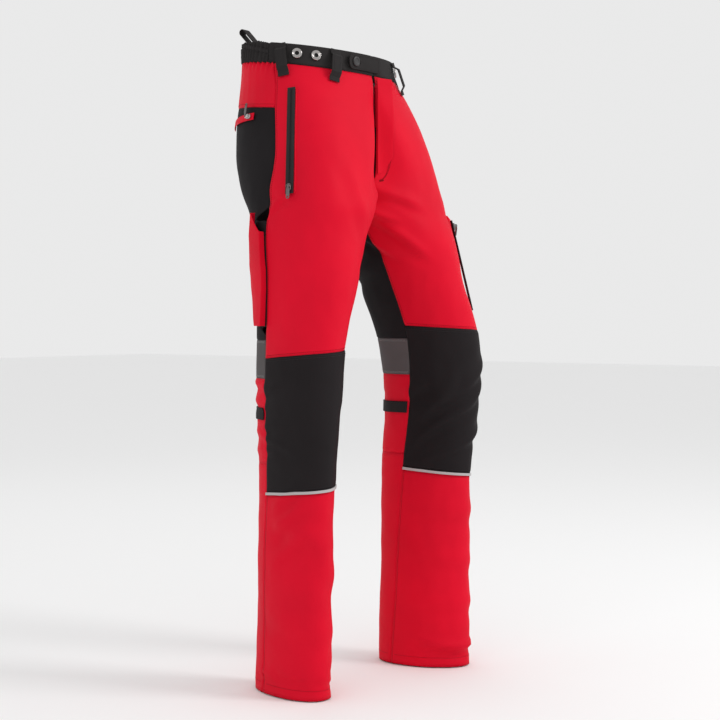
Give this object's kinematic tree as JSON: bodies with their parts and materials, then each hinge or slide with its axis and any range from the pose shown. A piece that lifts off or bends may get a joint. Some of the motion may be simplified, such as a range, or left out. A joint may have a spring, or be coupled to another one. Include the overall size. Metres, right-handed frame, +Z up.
{
  "type": "chainsaw protective trousers",
  "caption": "Full-length forestry trousers with cut-resistant padding in the fronts of the legs, knee patches, zipped pockets, belt loops and brace studs.",
  "frame": {"origin": "centre of the waist opening, on the waistband's centre line", "axes": "+X to the wearer's left, +Y to the wearer's back, +Z up"},
  "size_m": [0.432, 0.4076, 1.1485],
  "materials": {
    "shell_red": "matt woven polyester with a light sheen",
    "stretch_black": "matt four-way stretch weave",
    "patch_black": "matt abrasion-resistant weave",
    "stretch_grey": "matt corded stretch weave",
    "reflective_silver": "smooth reflective film on fabric",
    "cut_padding": "loose matt long-fibre wadding",
    "zip_tape": "matt woven tape with moulded teeth",
    "zip_metal": "dark plated, satin",
    "stud_steel": "bright plated, satin",
    "button_plastic": "satin",
    "webbing_black": "matt dense woven webbing"
  },
  "bodies": {
    "trousers": {"front_panel_right": "shell_red", "knee_patch_right": "patch_black", "cut_pad_thigh_right": "cut_padding", "back_yoke_right": "shell_red", "seat_panel_right": "stretch_black", "thigh_side_panel_right": "stretch_black", "knee_hollow_panel_right": "stretch_grey", "knee_back_panel_right": "shell_red", "knee_strap_right": "webbing_black", "front_panel_left": "shell_red", "knee_patch_left": "patch_black", "cut_pad_thigh_left": "cut_padding", "back_yoke_left": "shell_red", "seat_panel_left": "stretch_black", "thigh_side_panel_left": "shell_red", "knee_hollow_panel_left": "stretch_grey", "knee_back_panel_left": "shell_red", "knee_strap_left": "webbing_black", "waistband_front_right": "webbing_black", "waistband_front_left": "webbing_black", "waistband_back": "webbing_black", "belt_loop_front_right": "webbing_black", "belt_loop_side_right": "webbing_black", "belt_loop_front_left": "webbing_black", "belt_loop_side_left": "webbing_black", "brace_stud_inner_right": "stud_steel", "brace_stud_outer_right": "stud_steel", "brace_stud_inner_left": "stud_steel", "brace_stud_outer_left": "stud_steel", "brace_loop": "webbing_black", "waist_button": "button_plastic", "fly_zip_tape": "zip_tape", "fly_facing": "shell_red", "hip_zip_tape_right": "zip_tape", "hip_zip_tape_left": "zip_tape", "rear_zip_tape": "shell_red", "tool_pocket": "shell_red", "cargo_pocket": "shell_red", "cargo_zip_tape": "zip_tape"},
    "right_shin": {"shin_panel_right": "shell_red", "calf_panel_right": "shell_red", "cut_pad_shin_right": "cut_padding", "reflective_piping_right": "reflective_silver"},
    "left_shin": {"shin_panel_left": "shell_red", "calf_panel_left": "shell_red", "cut_pad_shin_left": "cut_padding", "reflective_piping_left": "reflective_silver"},
    "hip_zip_right_slider": {"hip_zip_right_slider": "zip_metal"},
    "hip_zip_right_pull": {"hip_zip_right_pull": "zip_metal"},
    "hip_zip_left_slider": {"hip_zip_left_slider": "zip_metal"},
    "hip_zip_left_pull": {"hip_zip_left_pull": "zip_metal"},
    "fly_zip_slider": {"fly_zip_slider": "zip_metal"},
    "fly_zip_pull": {"fly_zip_pull": "zip_metal"},
    "cargo_zip_slider": {"cargo_zip_slider": "zip_metal"},
    "cargo_zip_pull": {"cargo_zip_pull": "zip_metal"},
    "rear_zip_slider": {"rear_zip_slider": "zip_metal"},
    "rear_zip_pull": {"rear_zip_pull": "zip_metal"},
    "waist_tab": {"waist_tab": "webbing_black"}
  },
  "joints": [
    {"name": "right_knee_bend", "type": "hinge", "parent": "trousers", "child": "right_shin", "pos_m": [-0.15, -0.073, -0.6], "axis": [0.9659, -0.2588, 0], "range_deg": [0, 90], "deforming": ["knee_patch_right", "knee_hollow_panel_right", "knee_back_panel_right", "knee_strap_right"]},
    {"name": "left_knee_bend", "type": "hinge", "parent": "trousers", "child": "left_shin", "pos_m": [0.15, -0.137, -0.6], "axis": [0.9659, 0.2588, 0], "range_deg": [0, 90], "deforming": ["knee_patch_left", "knee_hollow_panel_left", "knee_back_panel_left", "knee_strap_left"]},
    {"name": "hip_zip_right_run", "type": "slide", "parent": "trousers", "child": "hip_zip_right_slider", "axis": [0.2054, 0.139, 0.9688], "range_m": [0, 0.165]},
    {"name": "hip_zip_right_pull_swing", "type": "hinge", "parent": "hip_zip_right_slider", "child": "hip_zip_right_pull", "pos_m": [-0.20806, -0.09571, -0.23405], "axis": [-0.2583, 0.9625, -0.0833], "range_deg": [0, 100]},
    {"name": "hip_zip_left_run", "type": "slide", "parent": "trousers", "child": "hip_zip_left_slider", "axis": [-0.2054, 0.139, 0.9688], "range_m": [0, 0.165]},
    {"name": "hip_zip_left_pull_swing", "type": "hinge", "parent": "hip_zip_left_slider", "child": "hip_zip_left_pull", "pos_m": [0.20806, -0.09571, -0.23405], "axis": [-0.2583, -0.9625, 0.0833], "range_deg": [0, 100]},
    {"name": "fly_zip_run", "type": "slide", "parent": "trousers", "child": "fly_zip_slider", "axis": [0, 0.0165, 0.9999], "range_m": [-0.125, 0]},
    {"name": "fly_zip_pull_swing", "type": "hinge", "parent": "fly_zip_slider", "child": "fly_zip_pull", "pos_m": [0, -0.11655, -0.04657], "axis": [-1, 0, 0], "range_deg": [0, 100]},
    {"name": "cargo_zip_run", "type": "slide", "parent": "trousers", "child": "cargo_zip_slider", "axis": [-0.1273, 0.1887, 0.9737], "range_m": [-0.135, 0]},
    {"name": "cargo_zip_pull_swing", "type": "hinge", "parent": "cargo_zip_slider", "child": "cargo_zip_pull", "pos_m": [0.18377, -0.17104, -0.28205], "axis": [-0.3066, -0.6168, -0.725], "range_deg": [0, 100]},
    {"name": "rear_zip_run", "type": "hinge", "parent": "trousers", "child": "rear_zip_slider", "pos_m": [-0.04316, -0.02601, -0.13499], "axis": [0.1701, -0.0302, 0.985], "range_deg": [-36.18, 0]},
    {"name": "rear_zip_pull_swing", "type": "hinge", "parent": "rear_zip_slider", "child": "rear_zip_pull", "pos_m": [-0.1841, 0.0162, -0.10936], "axis": [-0.2788, -0.9602, 0.0187], "range_deg": [0, 100]},
    {"name": "waist_tab_open", "type": "hinge", "parent": "trousers", "child": "waist_tab", "pos_m": [0.01364, -0.12135, -0.01384], "axis": [0.0126, -0.0013, 0.9999], "range_deg": [0, 100], "deforming": ["waist_tab"]}
  ]
}
